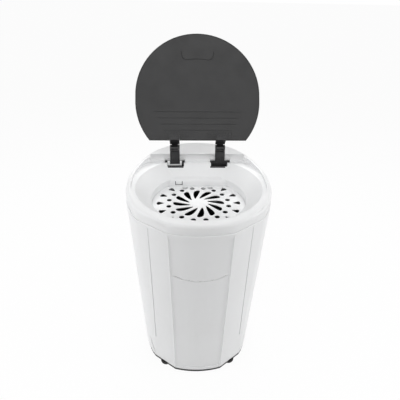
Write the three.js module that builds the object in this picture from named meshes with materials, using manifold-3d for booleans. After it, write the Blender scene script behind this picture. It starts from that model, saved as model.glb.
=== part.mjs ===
// Small laundry spin dryer: a tapered casing on four feet, a deck with a dished loading mouth, a perforated
// drum on a vertical shaft with its motor and brake below, a loose inner cover, and a lid on two ribbed arms.
// Millimetres. The drum turns about a vertical axis, the floor is Z = 0, and the front faces -Y.
import * as THREE from "three";
import { mergeVertices } from "three/addons/utils/BufferGeometryUtils.js";
import Module from "manifold-3d";

const wasm = await Module();
wasm.setup();

// Fits
const gap = 0.3; // between pieces that touch
const clearance = 2; // between pieces that turn past each other

// Casing
const casingTopRadius = 162.6;
const casingBaseRadius = 142;
const casingFoot = 12; // height of the casing's lower edge
const casingWall = 3;
const rearStretch = 30; // the rear arc's centre lies this far behind the drum's axis
const cornerProud = 4.2; // the panel corners stand this far outside the round outline
const panelCorner = 23.5; // degrees from the front to the front panel's edges
const facetCorner = 50; // degrees from the front to the far edge of each flat facet
const roundFrom = 72; // degrees from the front where the plain round outline takes over
const neckHeight = 8; // the casing's neck reaches this far up inside the skirt
const panelDepth = 1.2;
const panelTopMargin = 11;
const sideGrooveWidth = 2.4;
const smileHeight = 342;
const smileDip = 12;
const smileHalfWidth = 57;

// Deck
const seamHeight = 452.5; // lower edge of the deck's skirt
const deckInset = 0.6; // the skirt stands this far inside the casing's top edge
const deckFrontHeight = seamHeight + 23;
const deckSideRise = 4.5;
const deckRearRise = 20;
const rearRiseStart = 60;
const rearRiseEnd = 195;
const edgeRound = 6.5;
const deckWall = 3;

// Lid recess, dish and loading mouth
const seatHeight = seamHeight + 21.5; // floor of the recess that the lid lies in
const aboveAll = seatHeight + 86; // cutting shapes reach up to here
const lidRadius = 150;
const lidFrontCentre = 7;
const lidRearCentre = 23;
const lidFlatY = 117.7;
const lidThickness = 6;
const linerThickness = 2.4;
const recessSide = 1.5; // room round the lid at its sides
const recessFront = 4;
const recessRear = 2;
const dishTopRadius = lidRadius - 8;
const dishCentre = 2;
const mouthRadius = 108;
const mouthHeight = seatHeight - 30; // where the dish runs into the mouth's upright wall
const collarBottom = mouthHeight - 22;
const bandSlope = 0.77; // rise of the sloping band behind the recess, for each millimetre back
const bandDepth = 14.3;
const bandHalfWidth = 118;

// Inner cover
const coverFit = 0.6;
const coverThickness = 2.4;
const coverBottom = mouthHeight - 19;
const coverFlatY = 79;
const coverSeatWidth = 5;
const petalCount = 12;
const roundHoleCount = 16;
const roundHoleRadius = 4.8;
const roundHoleCircle = 69.6;
const tearCircle = 88.5;

// Hinge
const slotCentre = 55;
const slotHalfWidth = 21;
const slotFrontY = 110.8;
const slotRearY = 125;
const flangeHalfWidth = 26;
const flangeOffset = 2; // the slot's wide rear part is this much further out
const armCentre = 56.5;
const armWidth = 24;
const pivotY = 129.5;
const pivotZ = seatHeight + 35.8;
const knuckleWidth = 16;
const knuckleRadius = 7.5;
const pinRadius = 2;
const lidOpening = 123; // degrees from closed to the open position shown here
const armRibPitch = 4.6;

// Drum
const drumRadius = mouthRadius + clearance;
const drumWall = 1;
const drumBottom = 208;
const ringTop = coverBottom - 6;
const drumTop = ringTop - 11;
const ringBore = drumRadius - 10;
const drumHoleRadius = 3;
const drumHoleRows = 5;
const drumHolesRound = 10;

// Tub and running gear
const tubBore = drumRadius + 12;
const tubWall = 2.6;
const tubBottom = 190;
const tubTop = mouthHeight - 4;
const tubFlange = tubBore - 6; // bore of the tub's inward rim
const shaftRadius = 8;
const motorRadius = 62;
const motorBottom = 62;
const plateTop = 156;
const plateThickness = 5;
const bufferCircle = casingBaseRadius - 32;
const bufferRadius = 15;
const bufferHeight = 30;
const brakeRadius = 30;
const brakeTop = 52;
const brakeHeight = 14;
const leverPivotX = 44;
const leverPivotY = -34;
const nozzleY = 96;

// Base
const baseBottom = 8;
const baseFloor = 16;
const footRadius = 11;
const footX = casingBaseRadius - 60;
const footY = casingBaseRadius - 39;

// Drain and cord entry
const spoutRadius = 9.5;
const spoutBore = 6.5;
const spoutHeight = 40;
const glandRadius = 8;
const glandX = 62;
const glandHeight = 40;

const rad = Math.PI / 180;
const recessFlatY = lidFlatY + recessRear;
const coverTop = coverBottom + coverThickness;
const wallTopY = 115; // the sloping wall behind the mouth meets the recess floor here
const ledgeRearY = 97; // narrow ledge between that wall and the mouth's own rear wall

// ---- solids ----

// Triangles with two corners at one vertex, as at the pole of a revolve, are left out.
function wholeTriangles(index) {
  const kept = [];
  for (let i = 0; i < index.length; i += 3) {
    const [a, b, c] = [index[i], index[i + 1], index[i + 2]];
    if (a !== b && b !== c && c !== a) kept.push(a, b, c);
  }
  return Uint32Array.from(kept);
}

// Turns a closed geometry into a solid whose faces point out.
function solid(geometry) {
  const bare = geometry.index ? geometry.toNonIndexed() : geometry.clone();
  for (const name of Object.keys(bare.attributes)) if (name !== "position") bare.deleteAttribute(name);
  const merged = mergeVertices(bare, 1e-4);
  const triVerts = wholeTriangles(merged.index.array);
  const vertProperties = merged.attributes.position.array;
  const build = () => new wasm.Manifold(new wasm.Mesh({ numProp: 3, vertProperties, triVerts }));
  const made = build();
  if (made.volume() > 0) return made;
  for (let i = 1; i < triVerts.length; i += 3) [triVerts[i], triVerts[i + 1]] = [triVerts[i + 1], triVerts[i]];
  return build();
}

const join = (...solids) => solids.reduce((sum, next) => sum.add(next));
const cut = (body, ...tools) => tools.reduce((rest, tool) => rest.subtract(tool), body);
const common = (first, ...others) => others.reduce((rest, next) => rest.intersect(next), first);

const outlineShape = (points) => new THREE.Shape(points.map(([x, y]) => new THREE.Vector2(x, y)));

// A flat outline in X and Y, raised from one height to another.
function raise(points, low, high) {
  const depth = high - low;
  const geometry = new THREE.ExtrudeGeometry(outlineShape(points), { depth, bevelEnabled: false });
  return solid(geometry.translate(0, 0, low));
}

// A side profile in Y and Z, carried across from one X to another.
function across(profile, left, right) {
  const depth = right - left;
  const geometry = new THREE.ExtrudeGeometry(outlineShape(profile), { depth, bevelEnabled: false });
  const turn = new THREE.Matrix4().set(0, 0, 1, left, 1, 0, 0, 0, 0, 1, 0, 0, 0, 0, 0, 1);
  return solid(geometry.applyMatrix4(turn));
}

// A lathe geometry about Y for a profile of [radius, distance] pairs.
function latheGeometry(profile, steps) {
  const points = profile.map(([r, d]) => new THREE.Vector2(r, d));
  const last = points.at(-1);
  if (points[0].x > 0 || last.x > 0) points.push(points[0].clone());
  return new THREE.LatheGeometry(points, steps);
}

const turned = (profile, x = 0, y = 0, steps = 32) =>
  solid(latheGeometry(profile, steps).rotateX(Math.PI / 2).translate(x, y, 0));
const turnedBack = (profile, x, z, steps = 20) => solid(latheGeometry(profile, steps).translate(x, 0, z));
const turnedAcross = (profile, y, z, steps = 20) =>
  solid(latheGeometry(profile, steps).rotateZ(-Math.PI / 2).translate(0, y, z));

const disc = (radius, low, high, x = 0, y = 0, steps = 20) =>
  turned([[0, low], [radius, low], [radius, high], [0, high]], x, y, steps);
const ring = (inner, outer, low, high, x = 0, y = 0, steps = 48) =>
  turned([[inner, low], [outer, low], [outer, high], [inner, high]], x, y, steps);
const block = (x0, x1, y0, y1, z0, z1) => raise([[x0, y0], [x1, y0], [x1, y1], [x0, y1]], z0, z1);
const bar = (radius, left, right, y, z, steps = 16) =>
  turnedAcross([[0, left], [radius, left], [radius, right], [0, right]], y, z, steps);

// Joins rings of points, each the same count and in the same sense, and closes both ends with a fan.
function loft(rings) {
  const count = rings[0].length;
  const middle = (points) => [0, 1, 2].map((k) => points.reduce((sum, p) => sum + p[k], 0) / count);
  const vertices = [...rings.flat(), middle(rings[0]), middle(rings.at(-1))];
  const last = (rings.length - 1) * count;
  const index = [];
  for (let i = 0; i < count; i++) {
    const next = (i + 1) % count;
    for (let start = 0; start < last; start += count) {
      const [a, b] = [start + i, start + next];
      index.push(a, b, b + count, a, b + count, a + count);
    }
    index.push(next, i, rings.length * count, last + i, last + next, rings.length * count + 1);
  }
  const geometry = new THREE.BufferGeometry();
  geometry.setAttribute("position", new THREE.Float32BufferAttribute(vertices.flat(), 3));
  geometry.setIndex(index);
  return solid(geometry);
}

// A round bar along a curve through the points.
function bent(points, radius, sides = 10, steps = 24) {
  const path = new THREE.CatmullRomCurve3(points.map((p) => new THREE.Vector3(...p)));
  const corners = Array.from({ length: sides }, (_, i) => (2 * Math.PI * i) / sides);
  const section = outlineShape(corners.map((a) => [radius * Math.cos(a), radius * Math.sin(a)]));
  return solid(new THREE.ExtrudeGeometry(section, { steps, extrudePath: path, bevelEnabled: false }));
}

// ---- outlines ----

const mix = (a, b, t) => a + (b - a) * t;
const clamp01 = (t) => Math.min(1, Math.max(0, t));
const smooth = (t) => clamp01(t) ** 2 * (3 - 2 * clamp01(t));
const shares = (count) => Array.from({ length: count }, (_, i) => i / count);

// A place at an angle from the front, positive to the right.
const polar = (radius, degrees) => [radius * Math.sin(degrees * rad), -radius * Math.cos(degrees * rad)];
const atHeight = (points, height) => points.map(([x, y]) => [x, y, height]);

// The plan outline of the casing and the deck: round, or with the curved front panel between two flat facets.
function planOutline(radius, faceted) {
  const inner = polar(radius + cornerProud, panelCorner);
  const outer = polar(radius + cornerProud, facetCorner);
  const bulge = radius + inner[1];
  const right = [];
  const add = (round, flat) => right.push([mix(round[0], flat[0], faceted), mix(round[1], flat[1], faceted)]);
  for (const t of shares(5))
    add(polar(radius, panelCorner * t), [inner[0] * t, inner[1] - bulge * (1 - t * t)]);
  for (const t of shares(3)) {
    const flat = [mix(inner[0], outer[0], t), mix(inner[1], outer[1], t)];
    add(polar(radius, mix(panelCorner, facetCorner, t)), flat);
  }
  for (const t of shares(4)) {
    const angle = mix(facetCorner, roundFrom, t);
    add(polar(radius, angle), polar(radius + cornerProud * (1 - smooth(t)), angle));
  }
  for (const t of shares(3)) right.push(polar(radius, mix(roundFrom, 90, t)));
  for (const t of shares(16)) {
    const [x, y] = polar(radius, mix(90, 180, t));
    right.push([x, y + rearStretch]);
  }
  right.push([0, radius + rearStretch]);
  return [...right, ...right.slice(1, -1).reverse().map(([x, y]) => [-x, y])];
}

const casingRadius = (height) =>
  mix(casingBaseRadius, casingTopRadius, (height - casingFoot) / (seamHeight - casingFoot));
const deckHeight = (y) => deckFrontHeight + deckSideRise * smooth((y + casingTopRadius) / 122)
  + deckRearRise * smooth((y - rearRiseStart) / (rearRiseEnd - rearRiseStart));
const panelHalfWidth = (height) => polar(casingRadius(height) + cornerProud, panelCorner)[0];

// A point on the casing's front panel, at a depth below its surface.
function panelPoint(x, height, depth) {
  const radius = casingRadius(height);
  const corner = polar(radius + cornerProud, panelCorner);
  return [x, corner[1] - (radius + corner[1]) * (1 - (x / corner[0]) ** 2) + depth, height];
}

// Two half rounds with a short straight between them, cut straight at the rear.
function lidOutline(radius, frontCentre, rearCentre, flatY, steps = 56) {
  const end = 180 - Math.acos((flatY - rearCentre) / radius) / rad;
  return Array.from({ length: steps + 1 }, (_, i) => {
    const angle = mix(-end, end, i / steps);
    const [x, y] = polar(radius, angle);
    return [x, y + (Math.abs(angle) > 90 ? rearCentre : frontCentre)];
  });
}
const lidShape = (inset) => lidOutline(lidRadius - inset, lidFrontCentre, lidRearCentre, lidFlatY - inset);
const recessFrontCentre = lidFrontCentre + recessSide - recessFront;
const recessShape = (wall) =>
  lidOutline(lidRadius + recessSide + wall, recessFrontCentre, rearStretch, recessFlatY + wall);

// ---- casing ----

function panelRecess() {
  const places = [-1, -0.6, -0.2, 0.2, 0.6, 1];
  const slice = (height) => {
    const half = panelHalfWidth(height) - 4.3;
    const front = places.map((t) => panelPoint(t * (half + 9), height, -6));
    return [...front, ...places.map((t) => panelPoint(-t * half, height, panelDepth))];
  };
  return loft([casingFoot + 10, 150, 300, seamHeight - panelTopMargin].map(slice));
}

function smileGroove() {
  const points = [-1, -0.66, -0.33, 0, 0.33, 0.66, 1].map((t) =>
    panelPoint(t * smileHalfWidth, smileHeight - smileDip * (1 - t * t), panelDepth + 0.2));
  return bent(points, 1.7, 8, 20);
}

// An upright cutter through the casing's surface, from one height and angle to another.
function wallCutter(ends, width, outside, inside) {
  return loft(ends.map(([height, degrees]) => {
    const reach = casingRadius(height) + cornerProud;
    return [[-1, 1], [1, 1], [1, -1], [-1, -1]].map(([side, out]) => {
      const [x, y] = polar(reach + (out > 0 ? outside : -inside), degrees + (side * width) / 2 / reach / rad);
      return [x, y, height];
    });
  }));
}

const sideGroove = (side) =>
  wallCutter([[96, side * 45.6], [seamHeight - 6, side * 40.5]], sideGrooveWidth, 6, 4.8);
const ventSlit = (side) => wallCutter([[24, side * 49.5], [70, side * 57]], 2.6, 9, 12);

// Louvres low on the rear let the motor's air out.
const rearLouvres = () => [92, 101, 110, 119, 128].map((z) =>
  block(-34, 34, casingBaseRadius, casingTopRadius + rearStretch + 28, z, z + 3.5));

function outerShell() {
  const neckRadius = casingTopRadius - deckInset - deckWall - gap;
  const top = seamHeight - gap;
  const casing = (inset, z) => atHeight(planOutline(casingRadius(z) - inset, 1), z);
  const body = loft([casing(0, casingFoot), casing(0, 160), casing(0, 310), casing(0, top - 1.6),
    casing(0.9, top)]);
  const round = (radius, z) => atHeight(planOutline(radius, 0), z);
  const neck = loft([round(neckRadius, seamHeight - 6), round(neckRadius, seamHeight + neckHeight)]);
  const inner = neckRadius - casingWall;
  const bore = loft([casing(casingWall, casingFoot - 1), casing(casingWall, seamHeight - 12),
    round(inner, seamHeight - 6), round(inner, seamHeight + neckHeight + 1)]);
  const rearHole = (radius, x, z) => turnedBack([[0, 120], [radius, 120], [radius, 220], [0, 220]], x, z);
  const spoutHole = rearHole(spoutRadius + gap, 0, spoutHeight);
  const glandHole = rearHole(glandRadius + gap, glandX, glandHeight);
  return cut(join(body, neck), bore, panelRecess(), smileGroove(), sideGroove(1), sideGroove(-1),
    ventSlit(1), ventSlit(-1), ...rearLouvres(), spoutHole, glandHole);
}

// ---- deck ----

function roundRing(radius, centreY, height, steps = 64) {
  return shares(steps).map((t) => {
    const [x, y] = polar(radius, 360 * t);
    return [x, y + centreY, height];
  });
}

// Everything in front of the walls that close the dish and the mouth at the rear: the mouth's steep rear
// wall, a narrow ledge and a slope up to the recess.
function beforeRearWalls(wall) {
  const foot = coverFlatY + 0.5;
  const ledge = mouthHeight + 2;
  return across([[-220, ledge - 60], [foot + wall, ledge - 60], [foot + wall, ledge - 16 - wall * 0.1],
    [foot + 3 + wall * 0.9, ledge - 5 - wall * 0.6], [foot + 5.5 + wall * 0.43, ledge - 2.4 - wall],
    [ledgeRearY + wall * 0.43, ledge - wall * 0.97],
    [ledgeRearY + 2.5 + wall * 0.83, ledge + 2.5 - wall * 0.63], [wallTopY + wall, seatHeight - wall * 0.37],
    [wallTopY + wall, aboveAll], [-220, aboveAll]], -220, 220);
}

// The dish and the mouth, grown outward by a wall.
function dishSpace(wall) {
  const drop = wall * 0.4;
  const dish = loft([roundRing(mouthRadius + wall, 0, mouthHeight - drop),
    roundRing(dishTopRadius + wall, dishCentre, seatHeight - drop),
    roundRing(dishTopRadius + wall, dishCentre, aboveAll)]);
  const low = wall ? collarBottom : coverBottom - gap;
  return common(join(dish, disc(mouthRadius + wall, low, mouthHeight, 0, 0, 64)), beforeRearWalls(wall));
}

// Ledge round the foot of the mouth that the inner cover lies on.
function coverLedge() {
  const top = coverBottom - gap;
  const low = collarBottom - 20;
  const outer = common(disc(mouthRadius + 1, collarBottom, top, 0, 0, 64),
    block(-150, 150, -150, coverFlatY + deckWall + 0.5, low, aboveAll));
  const opening = common(disc(mouthRadius - coverSeatWidth, low, aboveAll, 0, 0, 64),
    block(-150, 150, -150, coverFlatY - coverSeatWidth, low, aboveAll));
  return cut(outer, opening);
}

function hingeSlot(side, wall) {
  const centre = side * slotCentre;
  const wide = side * (slotCentre + flangeOffset);
  const low = seatHeight - (wall ? 19 : 34);
  const [front, rear] = [slotFrontY - wall, slotRearY + wall];
  const [half, wideHalf] = [slotHalfWidth + wall, flangeHalfWidth + wall];
  return join(block(centre - half, centre + half, front, recessFlatY + 1, low, aboveAll),
    block(wide - wideHalf, wide + wideHalf, recessFlatY - wall, rear, low, aboveAll));
}

// Space over the sloping band behind the recess.
function bandSpace(wall) {
  const drop = wall * 1.2;
  const startZ = deckFrontHeight + deckSideRise - drop;
  const [half, depth] = [bandHalfWidth + wall, bandDepth + wall];
  return across([[recessFlatY - 3, startZ - (wall ? 4 : 0)], [recessFlatY, startZ],
    [recessFlatY + depth, startZ + bandSlope * depth], [recessFlatY + depth, aboveAll],
    [recessFlatY - 3, aboveAll]], -half, half);
}

function topDeck() {
  const outer = casingTopRadius - deckInset;
  const outline = (inset, faceted) => planOutline(outer - inset, faceted);
  const follow = (points, drop) => points.map(([x, y]) => [x, y, deckHeight(y) - drop]);
  const blank = loft([
    atHeight(outline(0, 1), seamHeight), atHeight(outline(0, 1), seamHeight + 6),
    follow(outline(0, 0.75), 7), follow(outline(0.9, 0.6), 3.6), follow(outline(3, 0.45), 1),
    follow(outline(edgeRound, 0.3), -0.4), atHeight(outline(edgeRound, 0.3), aboveAll - 20),
  ]);
  const heights = [...shares(8).map((t) => mix(-casingTopRadius, -40, t)), -40,
    ...shares(14).map((t) => mix(rearRiseStart, rearRiseEnd, t)), rearRiseEnd];
  const sky = across([[-220, deckFrontHeight], ...heights.map((y) => [y, deckHeight(y)]),
    [240, deckHeight(240)], [240, aboveAll], [-220, aboveAll]], -220, 220);
  const hollow = loft([
    atHeight(outline(deckWall, 1), seamHeight - 1), atHeight(outline(deckWall, 1), seamHeight + 6),
    follow(outline(deckWall + 0.4, 0.6), 9), follow(outline(deckWall + 5, 0.3), deckWall + 1.6)]);
  const collar = ring(mouthRadius, mouthRadius + deckWall, collarBottom, mouthHeight + 6, 0, 0, 64);
  const recess = raise(recessShape(deckWall), seatHeight - deckWall, aboveAll);
  const walls = join(dishSpace(deckWall), collar, coverLedge(), recess, bandSpace(deckWall),
    hingeSlot(-1, deckWall), hingeSlot(1, deckWall));
  const within = join(blank, disc(mouthRadius + 32, collarBottom - 1, seamHeight + 1, 0, 0, 64));
  const body = cut(join(cut(blank, hollow), common(walls, within)), sky);
  const opening = common(disc(mouthRadius - coverSeatWidth, collarBottom - 20, coverBottom + 1, 0, 0, 64),
    block(-150, 150, -150, coverFlatY - coverSeatWidth, collarBottom - 20, aboveAll));
  return cut(body, raise(recessShape(0), seatHeight, aboveAll), bandSpace(0), dishSpace(0), opening,
    hingeSlot(-1, 0), hingeSlot(1, 0));
}

// Small clip that hooks over the ledge behind the mouth and comes down its rear wall.
const coverCatch = () => across([[79.6, coverTop + 5.6], [80, coverTop + 5.6], [82.2, coverTop + 13.8],
  [84.7, coverTop + 16.6], [90, coverTop + 17.6], [90, coverTop + 19], [84.3, coverTop + 18],
  [79.6, coverTop + 13.6]], -54, -39);

// ---- hinge ----

const ribPlaces = (centre) => [-2, -1, 0, 1, 2].map((i) => centre + i * armRibPitch);

function hingeBracket(side) {
  const centre = side * armCentre;
  const half = armWidth / 2;
  const front = recessFlatY - 0.3;
  const low = seatHeight - 22;
  const base = join(
    block(side * slotCentre - slotHalfWidth + 1, side * slotCentre + slotHalfWidth - 1, slotFrontY + 0.4, 120,
      low, seatHeight - 10),
    block(side * (slotCentre + flangeOffset) - flangeHalfWidth + 1.5, side * (slotCentre + flangeOffset)
      + flangeHalfWidth - 1.5, recessFlatY + 0.2, slotRearY - 0.6, low, seatHeight + 4));
  const post = across([[front, low], [124.6, low], [124.6, seatHeight + 10], [125.2, seatHeight + 12],
    [136.3, pivotZ - 3.3], [pivotY, pivotZ + 4], [122.1, pivotZ - 1.3], [front, seatHeight + 8]],
  centre - half, centre + half);
  const grooves = ribPlaces(centre).map((x) =>
    block(x - 1.5, x + 1.5, front - 1, front + 0.9, seatHeight - 3, seatHeight + 15));
  const ears = bar(knuckleRadius, centre - half, centre + half, pivotY, pivotZ);
  const between = knuckleWidth / 2 + gap;
  return cut(join(base, post, ears), ...grooves,
    block(centre - between, centre + between, 110, 150, pivotZ - 7.3, aboveAll),
    bar(pinRadius + gap, centre - half - 1, centre + half + 1, pivotY, pivotZ, 12));
}

const hingePin = (side) =>
  bar(pinRadius, side * armCentre - armWidth / 2, side * armCentre + armWidth / 2, pivotY, pivotZ, 12);

// White plate in the left slot, shaped like a U round the foot of the hinge bracket's post.
function interlockPlate() {
  const left = -slotCentre - slotHalfWidth + 0.7;
  const right = left + 36;
  const [low, bar, high] = [seatHeight - 7.6, seatHeight - 5.4, seatHeight + 5.4];
  const [front, rear] = [recessFlatY - 1.6, recessFlatY - 0.6];
  const post = armCentre + armWidth / 2 + 0.6;
  return join(block(left, right, front, rear, low, bar), block(left, -post, front, rear + 0.4, low, high),
    block(-post + armWidth + 1.2, right, front, rear + 0.4, low, high));
}

const lidSwitch = () => join(
  block(-slotCentre - 12, -slotCentre + 12, 112, 124, seatHeight - 30, seatHeight - 22.3),
  block(-slotCentre - 3, -slotCentre + 3, 115, 120, seatHeight - 32.5, seatHeight - 29));

// ---- lid, drawn closed and then opened about the pivot ----

const lidUnder = seatHeight + gap;
const lidTop = lidUnder + lidThickness;

function armNotch(side) {
  const half = armWidth / 2 + gap;
  const [front, rear] = [lidFlatY - 4.3, lidFlatY + 5];
  return block(side * armCentre - half, side * armCentre + half, front, rear, lidUnder - 14, lidTop + 20);
}

// Outer skin of the lid, with a rim that the liner drops into.
function lidPanel() {
  const rings = [[0, lidUnder], [0, lidTop - 1.6], [0.5, lidTop - 0.5], [1.6, lidTop]];
  const shell = loft(rings.map(([inset, height]) => atHeight(lidShape(inset), height)));
  const pocket = raise(lidShape(2.4), lidUnder - 1, lidUnder + linerThickness + gap);
  return cut(shell, pocket, armNotch(-1), armNotch(1));
}

// The lid's inner face, with a finger grip, four long grooves and two combs of short grooves beside the arms.
function lidLiner() {
  const plate = raise(lidShape(2.4 + gap), lidUnder, lidUnder + linerThickness);
  const depth = 0.8;
  const rows = [[24, 81], [38.5, 91.5], [53.5, 98.5], [68.5, 104.5]];
  const grooves = rows.map(([back, half]) =>
    block(-half, half, lidFlatY - back - 0.8, lidFlatY - back + 0.8, lidUnder - 1, lidUnder + depth));
  const combs = [-1, 1].flatMap((side) => Array.from({ length: 9 }, (_, i) => {
    const x = side * (24 + i * 7.1);
    return block(x - 0.9, x + 0.9, lidFlatY - 21, lidFlatY - 5.5, lidUnder - 1, lidUnder + depth);
  }));
  return cut(plate, ...grooves, ...combs, gripGroove(), armNotch(-1), armNotch(1));
}

// Outline of the grip: a shallow tray with flared ends.
function gripGroove() {
  const near = lidFlatY - 189;
  const far = lidFlatY - 209;
  const points = [[-39, far], [-38.5, far + 8], [-35, near - 3], [-28, near], [-12, near + 0.5],
    [12, near + 0.5], [28, near], [35, near - 3], [38.5, far + 8], [39, far]].map(([x, y]) => [x, y, lidUnder]);
  return bent(points, 1, 6, 40);
}

function lidArm(side) {
  const centre = side * armCentre;
  const half = armWidth / 2;
  const under = lidUnder - gap;
  const low = under - 3.4;
  const rear = lidFlatY - 0.3;
  const strap = across([[104, low], [rear, low], [rear, lidTop + 4], [118, pivotZ - 11.8],
    [119.6, pivotZ - 5.6], [121, pivotZ - 1.8], [118.5, pivotZ + 1.7], [116.2, pivotZ - 2.8],
    [113.9, pivotZ - 10.8], [113.6, lidTop + 4], [113.6, under], [104, under]], centre - half, centre + half);
  const grooves = ribPlaces(centre).flatMap((x) => [
    block(x - 1.5, x + 1.5, 112, 114.6, lidTop - 3, pivotZ - 12.8),
    block(x - 1.5, x + 1.5, 105, 116, low - 1, low + 1)]);
  const reach = knuckleWidth / 2;
  const tongue = across([[118.5, pivotZ + 1.7], [121, pivotZ - 1.8], [129, pivotZ - knuckleRadius + 1],
    [128.5, pivotZ + knuckleRadius - 1]], centre - reach, centre + reach);
  const barrel = bar(knuckleRadius - 1, centre - reach, centre + reach, pivotY, pivotZ);
  return cut(join(cut(strap, ...grooves), tongue, barrel),
    bar(pinRadius + gap, centre - reach - 1, centre + reach + 1, pivotY, pivotZ, 12));
}

// ---- inner cover ----

const onCover = (radius, degrees) => [radius * Math.cos(degrees * rad), radius * Math.sin(degrees * rad)];
const throughCover = (points) => raise(points, coverBottom - 1, coverTop + 1);

// One opening of the swirl: it leans clockwise as it goes out, with one nearly straight and one bowed edge.
function petal(start) {
  const inner = 22.8;
  const outer = 58.5;
  const lean = 26.5;
  const widths = [[0.12, 2.2], [0.3, 6.2], [0.5, 11.2], [0.68, 15], [0.8, 16], [0.9, 13.6], [0.96, 8.8]];
  const spine = (t) => onCover(mix(inner, outer, t), start - lean * t);
  const bowed = widths.map(([t, width]) => {
    const radius = mix(inner, outer, t);
    return onCover(radius, start - lean * t + width / radius / rad);
  });
  return throughCover([spine(0), spine(0.25), spine(0.5), spine(0.75), spine(1), ...bowed.reverse()]);
}

// One rounded opening of the outer ring, with its narrow end outward.
function tear(degrees) {
  const points = [[-4.5, -3], [-4.5, 3], [-1, 4.4], [3.4, 2.6], [4.8, 0], [3.4, -2.6], [-1, -4.4]];
  return throughCover(points.map(([out, side]) =>
    onCover(Math.hypot(tearCircle + out, side), degrees + Math.atan2(side, tearCircle + out) / rad)));
}

function innerCover() {
  const plate = common(disc(mouthRadius - coverFit, coverBottom, coverTop, 0, 0, 72),
    block(-150, 150, -150, coverFlatY, coverBottom - 5, coverTop + 5));
  const petals = shares(petalCount).map((t) => petal(23 + 360 * t));
  const step = 360 / roundHoleCount;
  const holes = shares(roundHoleCount).map((t) =>
    disc(roundHoleRadius, coverBottom - 1, coverTop + 1, ...onCover(roundHoleCircle, step / 2 + 360 * t), 12));
  const clearOfFlat = shares(roundHoleCount).map((t) => 360 * t).filter((a) => Math.abs(a - 90) > step * 1.5);
  const flatTopped = [-1, 1].map((side) =>
    block(side * 31.5 - 6.5, side * 31.5 + 6.5, 66.5, 74.5, coverBottom - 5, coverTop + 5));
  return cut(plate, ...petals, ...holes, ...clearOfFlat.map(tear), ...flatTopped);
}

// ---- drum ----

function drumBasket() {
  const low = drumBottom;
  const shell = turned([[14, low], [drumRadius - 8, low], [drumRadius - 2, low + 3], [drumRadius, low + 9],
    [drumRadius, drumTop], [drumRadius - drumWall, drumTop], [drumRadius - drumWall, low + 9.6],
    [drumRadius - 3.4, low + 4.4], [drumRadius - 8.8, low + drumWall], [14, low + drumWall]], 0, 0, 44);
  const holes = [];
  for (let row = 0; row < drumHoleRows; row++)
    for (const t of shares(drumHolesRound)) {
      const hole = new THREE.CylinderGeometry(drumHoleRadius, drumHoleRadius, 10, 6);
      hole.translate(0, -drumRadius + 1, 0).applyMatrix4(new THREE.Matrix4().makeRotationZ(
        (360 * t + (row % 2) * (180 / drumHolesRound)) * rad)).translate(0, 0, low + 30 + row * 36);
      holes.push(solid(hole));
    }
  return cut(shell, ...holes);
}

// Ring that stiffens the drum's mouth.
function balanceRing() {
  const slotIn = drumRadius - drumWall - gap;
  const slotOut = drumRadius + gap;
  return turned([[ringBore, drumTop - 6], [ringBore, ringTop - 1], [ringBore + 1, ringTop],
    [drumRadius + 3, ringTop], [drumRadius + 4, ringTop - 1], [drumRadius + 4, drumTop - 10], [slotOut, drumTop - 10],
    [slotOut, drumTop + gap], [slotIn, drumTop + gap], [slotIn, drumTop - 6]], 0, 0, 44);
}

const drumHub = () => turned([[shaftRadius + gap, drumBottom - 12], [20, drumBottom - 12], [24, drumBottom - 6],
  [50, drumBottom - 5], [52, drumBottom - gap], [13.6, drumBottom - gap], [13.6, drumBottom + 14],
  [shaftRadius + gap, drumBottom + 14]], 0, 0, 24);

const hubNut = () => turned([[6.2, drumBottom + 14 + gap], [13, drumBottom + 14 + gap], [13, drumBottom + 22],
  [10, drumBottom + 27], [6.2, drumBottom + 27]], 0, 0, 6);

const driveShaft = () => turned([[0, brakeTop - brakeHeight - 4], [shaftRadius, brakeTop - brakeHeight - 4],
  [shaftRadius, drumBottom + 14], [5, drumBottom + 14], [5, drumBottom + 25], [0, drumBottom + 25]], 0, 0, 24);

const brakeDrum = () => turned([[shaftRadius + gap, brakeTop - brakeHeight], [brakeRadius, brakeTop - brakeHeight],
  [brakeRadius, brakeTop], [brakeRadius - 4, brakeTop], [brakeRadius - 4, brakeTop - 10], [14, brakeTop - 10],
  [14, brakeTop], [shaftRadius + gap, brakeTop]], 0, 0, 24);

// ---- tub and running gear ----

function tub() {
  const low = tubBottom;
  const outer = tubBore + tubWall;
  const shell = turned([[34, low], [outer - 4, low], [outer, low + 4], [outer, tubTop], [tubFlange, tubTop],
    [tubFlange, tubTop - tubWall], [tubBore, tubTop - tubWall], [tubBore, low + 5], [tubBore - 3, low + tubWall],
    [34, low + tubWall]], 0, 0, 44);
  const nozzle = ring(7, 9.5, low - 22, low + 1, 0, nozzleY, 20);
  return cut(join(shell, nozzle), disc(7, low - 23, low + 6, 0, nozzleY, 20));
}

const tubGasket = () => {
  const inner = mouthRadius + deckWall + gap;
  return turned([[inner, tubTop - 5], [tubFlange - gap, tubTop - 5], [tubFlange - gap, tubTop + gap],
    [tubFlange + 5, tubTop + gap], [tubFlange + 5, tubTop + 2.3], [inner, tubTop + 2.3]], 0, 0, 44);
};

const bearingHousing = () => turned([[19.3, plateTop + gap], [44, plateTop + gap], [44, plateTop + 6],
  [30, plateTop + 14], [30, tubBottom - 6], [46, tubBottom - 5], [46, tubBottom - gap], [33, tubBottom - gap],
  [33, tubBottom + tubWall + 1], [23, tubBottom + tubWall + 1], [23, tubBottom - 4], [19.3, tubBottom - 4]],
0, 0, 24);

const bearing = (low) => ring(shaftRadius + gap, 19, low, low + 10, 0, 0, 20);

const shaftSeal = () => turned([[shaftRadius + gap, tubBottom - 3.7], [22.7, tubBottom - 3.7],
  [22.7, tubBottom + tubWall], [12, tubBottom + tubWall], [shaftRadius + gap, tubBottom + tubWall + 2]], 0, 0, 20);

const bufferAngles = { front: 0, rear_right: 120, rear_left: 240 };

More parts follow.
